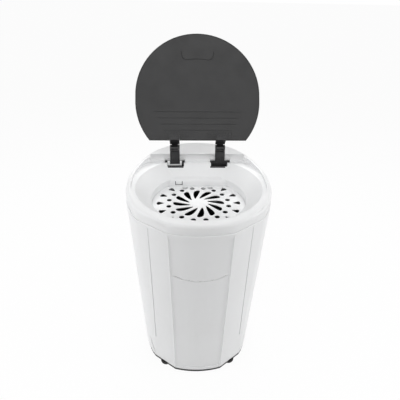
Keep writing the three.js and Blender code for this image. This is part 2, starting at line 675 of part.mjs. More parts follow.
// Three-armed plate that carries the tub above and the motor below.
function supportPlate() {
  const low = plateTop - plateThickness;
  const arms = Object.values(bufferAngles).map((angle) => {
    const [x, y] = polar(bufferCircle, angle);
    const [sideX, sideY] = polar(18, angle + 90);
    return join(raise([[sideX, sideY], [x + sideX * 0.8, y + sideY * 0.8], [x - sideX * 0.8, y - sideY * 0.8],
      [-sideX, -sideY]], low, plateTop), disc(bufferRadius + 2, low, plateTop, x, y, 20));
  });
  const bore = disc(shaftRadius + clearance, low - 1, plateTop + 1);
  return cut(join(disc(60, low, plateTop, 0, 0, 36), ...arms), bore);
}

function motorHousing() {
  const bore = shaftRadius + clearance;
  const top = plateTop - plateThickness - 8;
  const body = turned([[bore, motorBottom], [30, motorBottom], [motorRadius - 6, motorBottom + 8],
    [motorRadius, motorBottom + 16], [motorRadius, top - 8], [motorRadius - 8, top], [bore, top]], 0, 0, 28);
  const lugs = Object.values(bufferAngles).map((angle) =>
    disc(7, top - 12, plateTop - plateThickness - gap, ...polar(motorRadius - 14, angle + 60), 16));
  return join(body, ...lugs);
}

const postTop = plateTop - plateThickness - bufferHeight - 2 * gap;

function buffer(angle) {
  const low = postTop + gap;
  const waist = bufferRadius - 3;
  return turned([[0, low], [bufferRadius, low], [bufferRadius, low + 5], [waist, low + bufferHeight / 2],
    [bufferRadius, low + bufferHeight - 5], [bufferRadius, low + bufferHeight], [0, low + bufferHeight]],
  ...polar(bufferCircle, angle), 20);
}

// ---- base ----

function basePlate() {
  const tray = loft([baseBottom + 1, baseFloor].map((z) =>
    atHeight(planOutline(casingBaseRadius - casingWall - gap - 0.2, 1), z)));
  const edge = planOutline(casingBaseRadius - 0.5, 1);
  const flange = loft([atHeight(edge, baseBottom), atHeight(edge, casingFoot - gap)]);
  const posts = Object.values(bufferAngles).map((angle) =>
    disc(bufferRadius + 1, baseFloor - 1, postTop, ...polar(bufferCircle, angle)));
  const stub = disc(5, baseFloor - 1, brakeTop + 1, leverPivotX, leverPivotY, 16);
  const vents = [0, 1, 2, 3, 4].map((i) => block(-40, 24, -24 + 12 * i, -19 + 12 * i, 0, 40));
  return cut(join(tray, flange, ...posts, stub), ...vents);
}

const foot = (x, y) => turned([[0, 0], [footRadius - 1, 0], [footRadius, 1.2], [footRadius, baseBottom - gap],
  [0, baseBottom - gap]], x, y, 20);

// Lever with a curved shoe that bears on the brake drum while the lid is open.
function brakeLever() {
  const low = brakeTop - brakeHeight + 2;
  const high = brakeTop - 2;
  const hub = disc(10, low, high, leverPivotX, leverPivotY, 20);
  const strip = block(36.5, leverPivotX, leverPivotY, 40, low, high);
  const shoe = common(ring(brakeRadius + gap, 38, low, high, 0, 0, 64), block(24, 40, -16, 16, low, high));
  const tail = block(36.5, 60, 34, 40, low + 3, high - 3);
  return cut(join(hub, strip, shoe, tail), disc(5 + gap, low - 1, high + 1, leverPivotX, leverPivotY, 16),
    disc(2, low - 1, high + 1, 54, 37, 10));
}

const runCapacitor = () => turned([[0, baseFloor + gap], [19, baseFloor + gap], [19, baseFloor + 62],
  [16, baseFloor + 66], [0, baseFloor + 66]], -74, -74, 24);

// ---- drain and cord entry ----

const rearWallY = (x, z) => rearStretch + Math.sqrt(casingRadius(z) ** 2 - x ** 2);

// Short pipe through the rear wall that a drain hose pushes onto.
function drainSpout() {
  const wall = rearWallY(0, spoutHeight) + 1.2;
  return turnedBack([[spoutBore, wall - 34], [spoutRadius, wall - 34], [spoutRadius, wall], [15, wall],
    [15, wall + 3.4], [spoutRadius, wall + 3.4], [spoutRadius, wall + 16], [spoutRadius + 1, wall + 18],
    [spoutRadius, wall + 20], [spoutBore, wall + 20]], 0, spoutHeight);
}

// Hose inside the casing, from the tub's nozzle down to the spout.
function drainHose() {
  const end = rearWallY(0, spoutHeight) + 1.2 - 34 - gap;
  return bent([[0, nozzleY, tubBottom - 22 - gap], [0, nozzleY, 130], [0, nozzleY + 2, 78], [0, nozzleY + 12, 50],
    [0, end - 8, spoutHeight], [0, end, spoutHeight]], 8.5, 10, 18);
}

function cordGland() {
  const wall = rearWallY(glandX, glandHeight) + 5;
  return turnedBack([[3.6, wall - 18], [glandRadius, wall - 18], [glandRadius, wall], [12, wall],
    [12, wall + 3], [7, wall + 6], [5.4, wall + 16], [3.6, wall + 16]], glandX, glandHeight, 16);
}

// ---- materials and assembly ----

const finish = (color, roughness, metalness = 0) =>
  new THREE.MeshStandardMaterial({ color, roughness, metalness });
const whitePlastic = () => finish(0xe9eaec, 0.42);
const greyPlastic = () => finish(0x4c4c4e, 0.5);
const blackPlastic = () => finish(0x17181a, 0.55);
const rubber = () => finish(0x1c1c1c, 0.85);
const steel = () => finish(0xb9bcc0, 0.3, 0.9);
const castMetal = () => finish(0x8f9296, 0.5, 0.7);

function toGeometry(made) {
  const { vertProperties, triVerts, numProp } = made.getMesh();
  const places = new Float32Array((vertProperties.length / numProp) * 3);
  for (let i = 0; i < places.length / 3; i++)
    places.set(vertProperties.subarray(i * numProp, i * numProp + 3), 3 * i);
  const geometry = new THREE.BufferGeometry();
  geometry.setAttribute("position", new THREE.BufferAttribute(places, 3));
  geometry.setIndex(new THREE.BufferAttribute(Uint32Array.from(triVerts), 1));
  return geometry;
}

function piece(name, made, material) {
  const mesh = new THREE.Mesh(toGeometry(made), material);
  mesh.name = name;
  return mesh;
}

function group(...children) {
  const made = new THREE.Group();
  made.add(...children);
  return made;
}

const fixedPieces = () => group(
  piece("outer_shell", outerShell(), whitePlastic()),
  piece("top_deck", topDeck(), whitePlastic()),
  piece("cover_catch", coverCatch(), whitePlastic()),
  piece("base_plate", basePlate(), blackPlastic()),
  piece("hinge_bracket_left", hingeBracket(-1), blackPlastic()),
  piece("hinge_bracket_right", hingeBracket(1), blackPlastic()),
  piece("hinge_pin_left", hingePin(-1), steel()),
  piece("hinge_pin_right", hingePin(1), steel()),
  piece("interlock_plate", interlockPlate(), whitePlastic()),
  piece("lid_switch", lidSwitch(), blackPlastic()),
  piece("tub", tub(), whitePlastic()),
  piece("tub_gasket", tubGasket(), rubber()),
  piece("bearing_housing", bearingHousing(), castMetal()),
  piece("bearing_upper", bearing(tubBottom - 15), steel()),
  piece("bearing_lower", bearing(plateTop + gap + 1), steel()),
  piece("shaft_seal", shaftSeal(), rubber()),
  piece("support_plate", supportPlate(), steel()),
  piece("motor_housing", motorHousing(), castMetal()),
  piece("run_capacitor", runCapacitor(), steel()),
  piece("drain_spout", drainSpout(), blackPlastic()),
  piece("drain_hose", drainHose(), rubber()),
  piece("cord_gland", cordGland(), rubber()),
  ...Object.entries(bufferAngles).map(([name, angle]) => piece("buffer_" + name, buffer(angle), rubber())),
  piece("foot_front_left", foot(-footX, -footY), rubber()),
  piece("foot_front_right", foot(footX, -footY), rubber()),
  piece("foot_rear_left", foot(-footX, footY + rearStretch), rubber()),
  piece("foot_rear_right", foot(footX, footY + rearStretch), rubber()),
);

const drumPieces = () => group(
  piece("drum_basket", drumBasket(), steel()),
  piece("balance_ring", balanceRing(), whitePlastic()),
  piece("drum_hub", drumHub(), castMetal()),
  piece("hub_nut", hubNut(), steel()),
  piece("drive_shaft", driveShaft(), steel()),
  piece("brake_drum", brakeDrum(), castMetal()),
);

// The lid's pieces are drawn closed; the outer group turns them about the pivot to the open position.
function lidPieces() {
  const closed = group(
    piece("lid_panel", lidPanel(), greyPlastic()),
    piece("lid_liner", lidLiner(), greyPlastic()),
    piece("lid_arm_left", lidArm(-1), blackPlastic()),
    piece("lid_arm_right", lidArm(1), blackPlastic()),
  );
  closed.position.set(0, -pivotY, -pivotZ);
  const hinge = group(closed);
  hinge.position.set(0, pivotY, pivotZ);
  hinge.rotation.x = -lidOpening * rad;
  return hinge;
}

// The whole dryer, with the middle of its outside box over X = Y = 0.
function spinDryer() {
  const dryer = group(fixedPieces(), drumPieces(), piece("inner_cover", innerCover(), whitePlastic()),
    piece("brake_lever", brakeLever(), steel()), lidPieces());
  dryer.updateMatrixWorld(true);
  const middle = new THREE.Box3().setFromObject(dryer, true).getCenter(new THREE.Vector3());
  dryer.position.y = -middle.y;
  return dryer;
}

export default spinDryer();
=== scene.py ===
import math
import bmesh
import bpy
from mathutils import Matrix, Vector


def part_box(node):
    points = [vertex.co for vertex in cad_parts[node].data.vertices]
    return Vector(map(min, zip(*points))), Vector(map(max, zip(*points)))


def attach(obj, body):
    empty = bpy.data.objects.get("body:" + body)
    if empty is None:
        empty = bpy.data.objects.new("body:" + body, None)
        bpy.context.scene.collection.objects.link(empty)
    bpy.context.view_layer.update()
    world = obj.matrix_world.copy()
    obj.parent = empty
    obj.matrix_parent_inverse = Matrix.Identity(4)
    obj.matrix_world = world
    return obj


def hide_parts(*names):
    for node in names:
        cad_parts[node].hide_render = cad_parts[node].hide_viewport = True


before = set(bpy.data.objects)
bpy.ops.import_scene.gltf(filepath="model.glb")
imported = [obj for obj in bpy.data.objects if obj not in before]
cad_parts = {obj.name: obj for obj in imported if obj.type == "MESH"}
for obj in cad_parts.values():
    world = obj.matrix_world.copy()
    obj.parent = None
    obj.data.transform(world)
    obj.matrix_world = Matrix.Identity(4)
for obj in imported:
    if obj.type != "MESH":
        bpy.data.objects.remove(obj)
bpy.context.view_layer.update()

scene = bpy.context.scene
scene.view_settings.view_transform = "Standard"

# Sizes and places are in millimetres, apart from the studio's, and angles are in degrees.
# A place is measured from the drum's axis and from the floor.
mmInMetre = 1000
drumLow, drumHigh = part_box("drum_basket")
axisX = (drumLow[0] + drumHigh[0]) / 2
axisY = (drumLow[1] + drumHigh[1]) / 2


def metres(size):
    return size / mmInMetre


def place(x, y, z):
    return Vector((axisX + metres(x), axisY + metres(y), metres(z)))


def fromAxis(vert):
    return Vector((vert.co.x - axisX, vert.co.y - axisY, vert.co.z)) * mmInMetre


# camera

camera = {
    "position": (3.0, -709.0, 862.9),
    "pitch": 31.08,
    "roll": 1.21,
    "turn": -2.70,  # the camera and its place are turned about the drum's axis
    "lens": 32.4,
    "sensor": 36,
    "farthest": 20000,
}


def addCamera(values):
    data = bpy.data.cameras.new("camera")
    data.sensor_width = values["sensor"]
    data.lens = values["lens"]
    data.clip_end = metres(values["farthest"])
    rig = bpy.data.objects.new("camera", data)
    scene.collection.objects.link(rig)
    rig.matrix_world = (Matrix.Translation((axisX, axisY, 0))
                        @ Matrix.Rotation(math.radians(values["turn"]), 4, "Z")
                        @ Matrix.Translation(Vector(values["position"]) / mmInMetre)
                        @ Matrix.Rotation(math.radians(90 - values["pitch"]), 4, "X")
                        @ Matrix.Rotation(math.radians(values["roll"]), 4, "Z"))
    scene.camera = rig


addCamera(camera)
print("camera set")


# shader nodes, and the two groups that every finish shares

def feed(tree, node, inputs):
    # an input is linked where its source is another node's socket, and set where it is a plain value
    for key, source in inputs.items():
        if isinstance(source, bpy.types.NodeSocket):
            tree.links.new(source, node.inputs[key])
        else:
            node.inputs[key].default_value = source
    return node


def mathNode(tree, operation, *sources):
    node = tree.nodes.new("ShaderNodeMath")
    node.operation = operation
    return feed(tree, node, dict(enumerate(sources))).outputs[0]


def noiseNode(tree, coords, scale, detail, roughness=0.55):
    return feed(tree, tree.nodes.new("ShaderNodeTexNoise"), {
        "Vector": coords, "Scale": scale, "Detail": detail, "Roughness": roughness}).outputs["Fac"]


def rangeNode(tree, value, low, high, fromLow=0.3, fromHigh=0.7):
    return feed(tree, tree.nodes.new("ShaderNodeMapRange"), {
        "Value": value, "From Min": fromLow, "From Max": fromHigh, "To Min": low, "To Max": high,
    }).outputs["Result"]


def groupNode(tree, group, inputs):
    node = tree.nodes.new("ShaderNodeGroup")
    node.node_tree = group
    return feed(tree, node, inputs).outputs


def newGroup(name, inputs, outputs):
    group = bpy.data.node_groups.new(name, "ShaderNodeTree")
    for label, kind, value in inputs:
        socket = group.interface.new_socket(label, in_out="INPUT", socket_type=kind)
        socket.default_value = value
    for label, kind in outputs:
        group.interface.new_socket(label, in_out="OUTPUT", socket_type=kind)
    enter = group.nodes.new("NodeGroupInput")
    leave = group.nodes.new("NodeGroupOutput")
    coords = group.nodes.new("ShaderNodeTexCoord")
    return group, enter.outputs, leave, coords.outputs["Object"]


def buildSurfaceGrain(broadShare=0.015):
    # a fine grain, and a broad wave under it that also shifts the roughness
    group, given, leave, coords = newGroup("surfaceGrain", [
        ("Scale", "NodeSocketFloat", 900.0),
        ("Smooth", "NodeSocketFloat", 0.3),
        ("Rough", "NodeSocketFloat", 0.45),
        ("Wave", "NodeSocketFloat", 0.4),
    ], [("Roughness", "NodeSocketFloat"), ("Height", "NodeSocketFloat")])
    fine = noiseNode(group, coords, given["Scale"], detail=3)
    broad = noiseNode(group, coords, mathNode(group, "MULTIPLY", given["Scale"], broadShare), detail=2)
    feed(group, leave, {
        "Roughness": rangeNode(group, broad, given["Smooth"], given["Rough"]),
        "Height": mathNode(group, "MULTIPLY_ADD", broad, given["Wave"], fine)})
    return group


def buildColourDrift(speckFineness=60, cloudRange=(0.42, 0.78), speckRange=(0.64, 0.74)):
    # clouds and small specks of the worn colour
    group, given, leave, coords = newGroup("colourDrift", [
        ("Colour", "NodeSocketColor", (0.8, 0.8, 0.8, 1)),
        ("Worn colour", "NodeSocketColor", (0.7, 0.7, 0.7, 1)),
        ("Scale", "NodeSocketFloat", 14.0),
        ("Amount", "NodeSocketFloat", 0.5),
        ("Specks", "NodeSocketFloat", 0.0),
    ], [("Colour", "NodeSocketColor")])
    cloud = noiseNode(group, coords, given["Scale"], detail=5, roughness=0.6)
    speck = noiseNode(group, coords, mathNode(group, "MULTIPLY", given["Scale"], speckFineness), detail=1)
    worn = mathNode(group, "ADD", rangeNode(group, cloud, 0.0, given["Amount"], *cloudRange),
                    rangeNode(group, speck, 0.0, given["Specks"], *speckRange))
    worn.node.use_clamp = True
    blend = group.nodes.new("ShaderNodeMix")
    blend.data_type = "RGBA"
    feed(group, blend, {"Factor": worn, "A": given["Colour"], "B": given["Worn colour"]})
    feed(group, leave, {"Colour": blend.outputs["Result"]})
    return group


surfaceGrain = buildSurfaceGrain()
colourDrift = buildColourDrift()


# finishes

plainFinish = {"metal": 0.0, "specular": 0.5, "specks": 0.0, "wave": 0.4, "bumpDepth": 0.2}
finishes = {
    "whiteMoulding": {
        "colour": (0.84, 0.845, 0.85), "worn": (0.78, 0.78, 0.775), "drift": 0.35, "driftScale": 9,
        "roughness": (0.34, 0.46), "grainScale": 1400, "bump": 0.06, "wave": 1.2},
    "whiteCover": {
        "colour": (0.86, 0.865, 0.87), "worn": (0.8, 0.8, 0.79), "drift": 0.3, "driftScale": 22,
        "roughness": (0.3, 0.42), "grainScale": 1600, "bump": 0.05},
    "greyLid": {
        "colour": (0.027, 0.027, 0.0275), "worn": (0.034, 0.034, 0.0345), "drift": 0.4, "driftScale": 12,
        "roughness": (0.46, 0.6), "grainScale": 1900, "bump": 0.05, "wave": 0.6, "specular": 0.36},
    "blackHinge": {
        "colour": (0.012, 0.012, 0.013), "worn": (0.035, 0.035, 0.036), "drift": 0.5, "driftScale": 60,
        "roughness": (0.32, 0.5), "grainScale": 2200, "bump": 0.12},
    "blackBase": {
        "colour": (0.012, 0.012, 0.012), "worn": (0.03, 0.03, 0.028), "drift": 0.6, "driftScale": 26,
        "roughness": (0.5, 0.7), "grainScale": 1500, "bump": 0.2},
    "rubberBlack": {
        "colour": (0.014, 0.014, 0.014), "worn": (0.045, 0.043, 0.04), "drift": 0.7, "driftScale": 40,
        "roughness": (0.7, 0.9), "grainScale": 1300, "bump": 0.3, "specks": 0.3},
    "drumSteel": {
        "colour": (0.38, 0.385, 0.39), "worn": (0.26, 0.26, 0.26), "drift": 0.6, "driftScale": 30,
        "roughness": (0.26, 0.44), "grainScale": 2600, "bump": 0.05, "metal": 1.0},
    # painted shade: the drum, hub and nut are steel darkened to near black, standing in for the shade deep
    # inside the drum
    "drumPaintedShade": {
        "colour": (0.07, 0.071, 0.073), "worn": (0.045, 0.045, 0.045), "drift": 0.6, "driftScale": 30,
        "roughness": (0.36, 0.55), "grainScale": 2600, "bump": 0.05, "metal": 0.85},
    # the tub: partly its own grey, darkened to near black as painted shade for the dark inside of the machine
    "tubGreyAndPaintedShade": {
        "colour": (0.05, 0.05, 0.051), "worn": (0.08, 0.079, 0.075), "drift": 0.5, "driftScale": 18,
        "roughness": (0.55, 0.75), "grainScale": 1200, "bump": 0.12},
    "castMetal": {
        "colour": (0.33, 0.34, 0.345), "worn": (0.2, 0.2, 0.2), "drift": 0.7, "driftScale": 34,
        "roughness": (0.48, 0.7), "grainScale": 700, "bump": 0.5, "specks": 0.5, "metal": 0.9},
}


def makeFinish(name, given):
    values = {**plainFinish, **given}
    made = bpy.data.materials.new(name)
    made.use_nodes = True
    tree = made.node_tree
    smooth, rough = values["roughness"]
    drift = groupNode(tree, colourDrift, {
        "Colour": (*values["colour"], 1), "Worn colour": (*values["worn"], 1),
        "Scale": values["driftScale"], "Amount": values["drift"], "Specks": values["specks"]})
    grain = groupNode(tree, surfaceGrain, {
        "Scale": values["grainScale"], "Smooth": smooth, "Rough": rough, "Wave": values["wave"]})
    bump = feed(tree, tree.nodes.new("ShaderNodeBump"), {
        "Strength": values["bump"], "Distance": metres(values["bumpDepth"]), "Height": grain["Height"]})
    feed(tree, tree.nodes["Principled BSDF"], {
        "Base Color": drift["Colour"], "Metallic": values["metal"], "Roughness": grain["Roughness"],
        "Specular IOR Level": values["specular"], "Normal": bump.outputs["Normal"]})
    return made


finishOf = {name: makeFinish(name, values) for name, values in finishes.items()}

nodeFinish = {
    "whiteMoulding": ("outer_shell", "top_deck", "interlock_plate", "cover_catch"),
    "tubGreyAndPaintedShade": ("tub", "balance_ring"),
    "whiteCover": ("inner_cover",),
    "greyLid": ("lid_panel", "lid_liner"),
    "blackHinge": ("lid_arm_left", "lid_arm_right", "hinge_bracket_left", "hinge_bracket_right",
                   "lid_switch"),
    "blackBase": ("base_plate", "drain_spout"),
    "rubberBlack": ("foot_front_left", "foot_front_right", "foot_rear_left", "foot_rear_right",
                    "tub_gasket", "shaft_seal", "buffer_front", "buffer_rear_left", "buffer_rear_right",
                    "cord_gland", "drain_hose"),
    # the drum, hub and nut take the steel darkened as painted shade
    "drumPaintedShade": ("drum_basket", "drum_hub", "hub_nut"),
    "drumSteel": ("drive_shaft", "hinge_pin_left", "hinge_pin_right", "bearing_upper", "bearing_lower",
                  "support_plate", "brake_lever"),
    "castMetal": ("brake_drum", "bearing_housing", "motor_housing", "run_capacitor"),
}
for finishName, nodeNames in nodeFinish.items():
    for nodeName in nodeNames:
        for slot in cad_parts[nodeName].material_slots:
            slot.material = finishOf[finishName]
print("finishes made:", len(finishOf))


# what all the pieces share

whiteCasing = {"finish": "whiteMoulding", "slot": "white_plastic", "body": "cabinet"}
blackCasing = {"finish": "blackBase", "slot": "black_plastic", "body": "cabinet"}
blackFitting = {"finish": "blackHinge", "slot": "black_plastic", "body": "cabinet"}


def addPiece(name, work, values, *nodes):
    mesh = bpy.data.meshes.new(name)
    work.to_mesh(mesh)
    work.free()
    piece = bpy.data.objects.new(name, mesh)
    scene.collection.objects.link(piece)
    mesh.materials.append(finishOf[values["finish"]])
    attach(piece, values["body"])
    if nodes:
        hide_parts(*nodes)
    return piece


def smoothFaces(work, sharp):
    for face in work.faces:
        face.smooth = True
    for edge in work.edges:
        edge.smooth = len(edge.link_faces) == 2 and edge.calc_face_angle(0) < math.radians(sharp)


def easeEdges(piece, width, above):
    # edges that turn by more than the angle are rounded
    bevel = piece.modifiers.new("eased edges", "BEVEL")
    bevel.width = metres(width)
    bevel.segments = 2
    bevel.limit_method = "ANGLE"
    bevel.angle_limit = math.radians(above)
    bevel.use_clamp_overlap = True
    bevel.harden_normals = False


def bevelEdges(work, edges, width, segments=1, clamp=False):
    bmesh.ops.bevel(work, geom=edges, offset=metres(width), offset_type="OFFSET", affect="EDGES",
                    segments=segments, profile=0.5, material=-1, clamp_overlap=clamp)


def extrudeFaces(work, faces, shift):
    made = bmesh.ops.extrude_face_region(work, geom=faces)["geom"]
    moved = [part for part in made if isinstance(part, bmesh.types.BMVert)]
    bmesh.ops.translate(work, verts=moved, vec=shift)
    bmesh.ops.recalc_face_normals(work, faces=work.faces)


# pieces that keep a CAD node's form, with its edges eased and its rounds shaded smooth

def widen(work, share):
    low, high = (Vector([pick(vert.co[axis] for vert in work.verts) for axis in range(3)])
                 for pick in (min, max))
    middle = (low + high) / 2
    for vert in work.verts:
        vert.co.x = middle.x + (vert.co.x - middle.x) * share
        vert.co.y = middle.y + (vert.co.y - middle.y) * share


def dropRimAndShadeSkirt(work, values):
    # the underside's outer border goes down as a low black skirt: partly the base's own rim, partly painted
    # shade standing in for the shade between the casing and the floor
    level = min(vert.co.z for vert in work.verts) + metres(values["level"])
    under = [face for face in work.faces
             if face.normal.z < values["facing"] and max(vert.co.z for vert in face.verts) < level]
    for width in ("inset", "wall"):
        band = bmesh.ops.inset_region(work, faces=under, thickness=metres(values[width]), use_boundary=True,
                                      use_even_offset=True)["faces"]
    kept = [face for face in band
            if min(fromAxis(vert).to_2d().length for vert in face.verts) > values["beyond"]]
    extrudeFaces(work, kept, (0, 0, -metres(values["drop"])))
    print("rim faces dropped:", len(kept), "of", len(band))


def liftBand(work, values):
    low, high = values["heights"]
    for vert in work.verts:
        if low <= fromAxis(vert).z <= high:
            vert.co.z += metres(values["by"])


def raiseGrip(work, values):
    # the grip's groove slides up the lid's face, and its lower line is arched
    low, high = values["heights"]
    for vert in work.verts:
        spot = fromAxis(vert)
        across = abs(spot.x)
        if across < values["across"] and low <= spot.z <= high:
            move = values["by"]
            if spot.z < values["archBelow"] and across < values["archHalf"]:
                move += values["arch"] * (1 - (across / values["archHalf"]) ** 2)
            vert.co += Vector(values["along"]) * metres(move)


def tuckBand(work, values):
    # a band of heights is drawn in towards the axis, so that the casing's top edge shows as a ledge below it
    low, high = values["heights"]
    near, far = values["reach"]
    for vert in work.verts:
        spot = fromAxis(vert)
        reach = math.hypot(spot.x, spot.y)
        if low <= spot.z <= high and near <= reach <= far:
            share = 1 - values["by"] / reach
            vert.co = place(spot.x * share, spot.y * share, spot.z)


plainRound = {"centre": (0, 0), "depth": (-400, 400), "steep": False, "angle": 18, "segments": 4}
steepFrom = 30  # degrees above level


def roundLoop(work, given, side):
    # an edge is taken where both its ends lie in the bands of heights, depths and distances from the centre
    values = {**plainRound, **given}
    low, high = values["heights"]
    near, far = values["reach"]
    front, rear = values["depth"]
    centreX, centreY = values["centre"]

    def inside(vert):
        spot = fromAxis(vert)
        reach = math.hypot(spot.x - centreX * side, spot.y - centreY)
        return low <= spot.z <= high and near <= reach <= far and front <= spot.y <= rear

    def steep(edge):
        run = edge.verts[0].co - edge.verts[1].co
        return abs(run.z) > math.sin(math.radians(steepFrom)) * run.length

    picked = [edge for edge in work.edges if len(edge.link_faces) == 2
              and (steep(edge) or not values["steep"])
              and inside(edge.verts[0]) and inside(edge.verts[1])
              and edge.calc_face_angle(0) > math.radians(values["angle"])]
    if picked:
        bevelEdges(work, picked, values["width"], values["segments"], clamp=True)
    return len(picked)


eased = {
    "outer_shell": {
        **whiteCasing, "edge": 0.5, "sharp": 24,
        "rounds": (  # mouths of the slits low on the casing's sides
            {"heights": (22, 72), "reach": (0, 15), "centre": (115, -88), "sides": (1, -1), "width": 0.9,
             "angle": 40},
        )},
    "top_deck": {
        **whiteCasing, "edge": 0.6, "sharp": 30,
        "tuck": {"heights": (452, 459), "reach": (140, 260), "by": 1.5},
        "rounds": (
            # rear corners of the mouth's wall
            {"heights": (424, 447), "reach": (0, 16), "centre": (73, 80), "sides": (1, -1), "width": 7,
             "steep": True},
            # rear corners of the recess
            {"heights": (473, 489), "reach": (0, 2.5), "centre": (122.1, 119.7), "sides": (1, -1), "width": 7,
             "steep": True},
            # rim of the mouth
            {"heights": (443, 445), "reach": (106, 110), "width": 4},
            # rim of the dish
            {"heights": (473, 475), "reach": (139, 145), "centre": (0, 2), "width": 3.5},
            # top of the dish's rear wall
            {"heights": (473, 475), "reach": (0, 160), "depth": (114, 116), "width": 3},
        )},
    "interlock_plate": {
        **whiteCasing, "edge": 0.3, "sharp": 30,
        "lift": {"heights": (468.4, 468.8), "by": 1.5}},
    "cover_catch": {**whiteCasing, "edge": 0.5, "sharp": 30},
    "lid_panel": {"finish": "greyLid", "slot": "grey_plastic", "body": "lid", "edge": 0.3, "sharp": 30},
    "lid_liner": {
        "finish": "greyLid", "slot": "grey_plastic", "body": "lid", "edge": 0.3, "sharp": 30,
        "grip": {"across": 60, "heights": (690, 740), "along": (0, 0.54, 0.842), "by": 7,
                 "arch": 2.6, "archHalf": 26, "archBelow": 701}},
    "lid_arm_left": {**blackFitting, "body": "lid", "edge": 0.4, "sharp": 30},
    "lid_arm_right": {**blackFitting, "body": "lid", "edge": 0.4, "sharp": 30},
    "hinge_bracket_left": {**blackFitting, "edge": 0.4, "sharp": 30},
    "hinge_bracket_right": {**blackFitting, "edge": 0.4, "sharp": 30},
    "base_plate": {
        **blackCasing, "edge": 0.4, "sharp": 30,
        # downward faces within "level" of the lowest point, and beyond a distance from the axis
        # the dropped black skirt is partly painted shade for the gap under the casing
        "drop": {"level": 0.2, "facing": -0.9, "inset": 0.3, "wall": 2.4, "drop": 4, "beyond": 100}},
}
for corner in ("front_left", "front_right", "rear_left", "rear_right"):
    eased["foot_" + corner] = {"finish": "rubberBlack", "slot": "rubber", "body": "cabinet",
                               "edge": 0.6, "sharp": 30, "wider": 1.35}

changes = {"wider": widen, "drop": dropRimAndShadeSkirt, "lift": liftBand, "grip": raiseGrip, "tuck": tuckBand}
copying = {"merge": 0.01, "flat": 0.4}


def easedCopy(node, values):
    work = bmesh.new()
    work.from_mesh(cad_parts[node].data)
    bmesh.ops.remove_doubles(work, verts=work.verts, dist=metres(copying["merge"]))
    bmesh.ops.dissolve_limit(work, angle_limit=math.radians(copying["flat"]), verts=work.verts,
                             edges=work.edges)
    for name, change in changes.items():
        if name in values:
            change(work, values[name])
    for loop in values.get("rounds", ()):
        for side in loop.get("sides", (1,)):
            print(node, "rounded edges:", roundLoop(work, loop, side))
    smoothFaces(work, values["sharp"])
    easeEdges(addPiece(node + "_eased", work, values, node), values["edge"], values["sharp"])


for nodeName, values in eased.items():
    easedCopy(nodeName, values)
print("eased pieces:", len(eased))


# inner cover: a thin disc with a straight rear edge, leaning petals and two rings of small openings

cover = {
    "finish": "whiteCover", "slot": "white_plastic", "body": "cover",
    "flat": 79,  # how far behind the axis the straight edge lies
    "corner": 7,
    "cornerSteps": 5,
    "rimSteps": 90,
    "thickness": 2.4,
    "edge": 0.45,
    "merged": 1,  # faces that meet at less than this become one
    "sharp": 35,
    "easedAbove": 40,
    "petals": 12,
    "petalTurn": -94.5,
    # distance from the middle, and degrees from the petal's own line
    "petal": ((21.5, 24), (25, 17.5), (30, 11), (38, 5.5), (47.5, 1.6), (55, 0), (58, 2), (57.6, 7.5),
              (54.2, 12.6), (47, 16.4), (40, 19.4), (30, 22.8), (24, 25.2)),
    "grown": 0.8,  # each petal is this much larger all round than its line
    "rounds": 16,
    "roundCircle": 69.6,
    "roundRadius": 5.7,
    "roundSteps": 24,
    "tear": ((79.4, 0), (86, 2.5), (92, 4.2), (95.6, 3.3), (96.4, -1.2), (93.4, -4), (86.5, -2.6)),
    "tearGap": 1.5,  # no tear lies within this many steps of the straight edge's middle
    # the two openings by the straight edge: their middle, half their sizes, and the slant of their ends
    "wedge": {"across": 31.5, "depth": 70.5, "half": 7.3, "deep": 4.8, "taper": 1.4},
    "undercut": 1.1,  # each opening is this much wider all round at the lower face
}


def spotOn(reach, degrees):
    return (reach * math.cos(math.radians(degrees)), reach * math.sin(math.radians(degrees)))


def throughPoints(spots, steps=4):
    # a closed smooth line through the points
    line = []
    count = len(spots)
    for index in range(count):
        before, here, after, beyond = (Vector(spots[(index + shift) % count]) for shift in (-1, 0, 1, 2))
        for step in range(steps):
            t = step / steps
            line.append(tuple(0.5 * (2 * here + (after - before) * t
                                     + (2 * before - 5 * here + 4 * after - beyond) * t * t
                                     + (3 * here - before - 3 * after + beyond) * t ** 3)))
    return line


def grownLine(spots, by):
    # every point moves out at right angles to the line
    count = len(spots)
    turn = sum(spots[k - 1][0] * spots[k][1] - spots[k][0] * spots[k - 1][1] for k in range(count))
    side = by if turn > 0 else -by
    line = []
    for index in range(count):
        along = Vector(spots[(index + 1) % count]) - Vector(spots[index - 1])
        along.normalize()
        line.append((spots[index][0] + along.y * side, spots[index][1] - along.x * side))
    return line


def addLoop(work, spots, height):
    corners = [work.verts.new(place(x, y, height)) for x, y in spots]
    for first, second in zip(corners, corners[1:] + corners[:1]):
        work.edges.new((first, second))
    return corners


def coverOutline(values, radius):
    corner = math.degrees(math.asin(values["flat"] / radius))
    turn = 180 + 2 * corner
    steps = values["rimSteps"]
    return [spotOn(radius, 180 - corner + turn * step / steps) for step in range(steps + 1)]


def planKey(spot):
    return round(spot.x, 6), round(spot.y, 6)


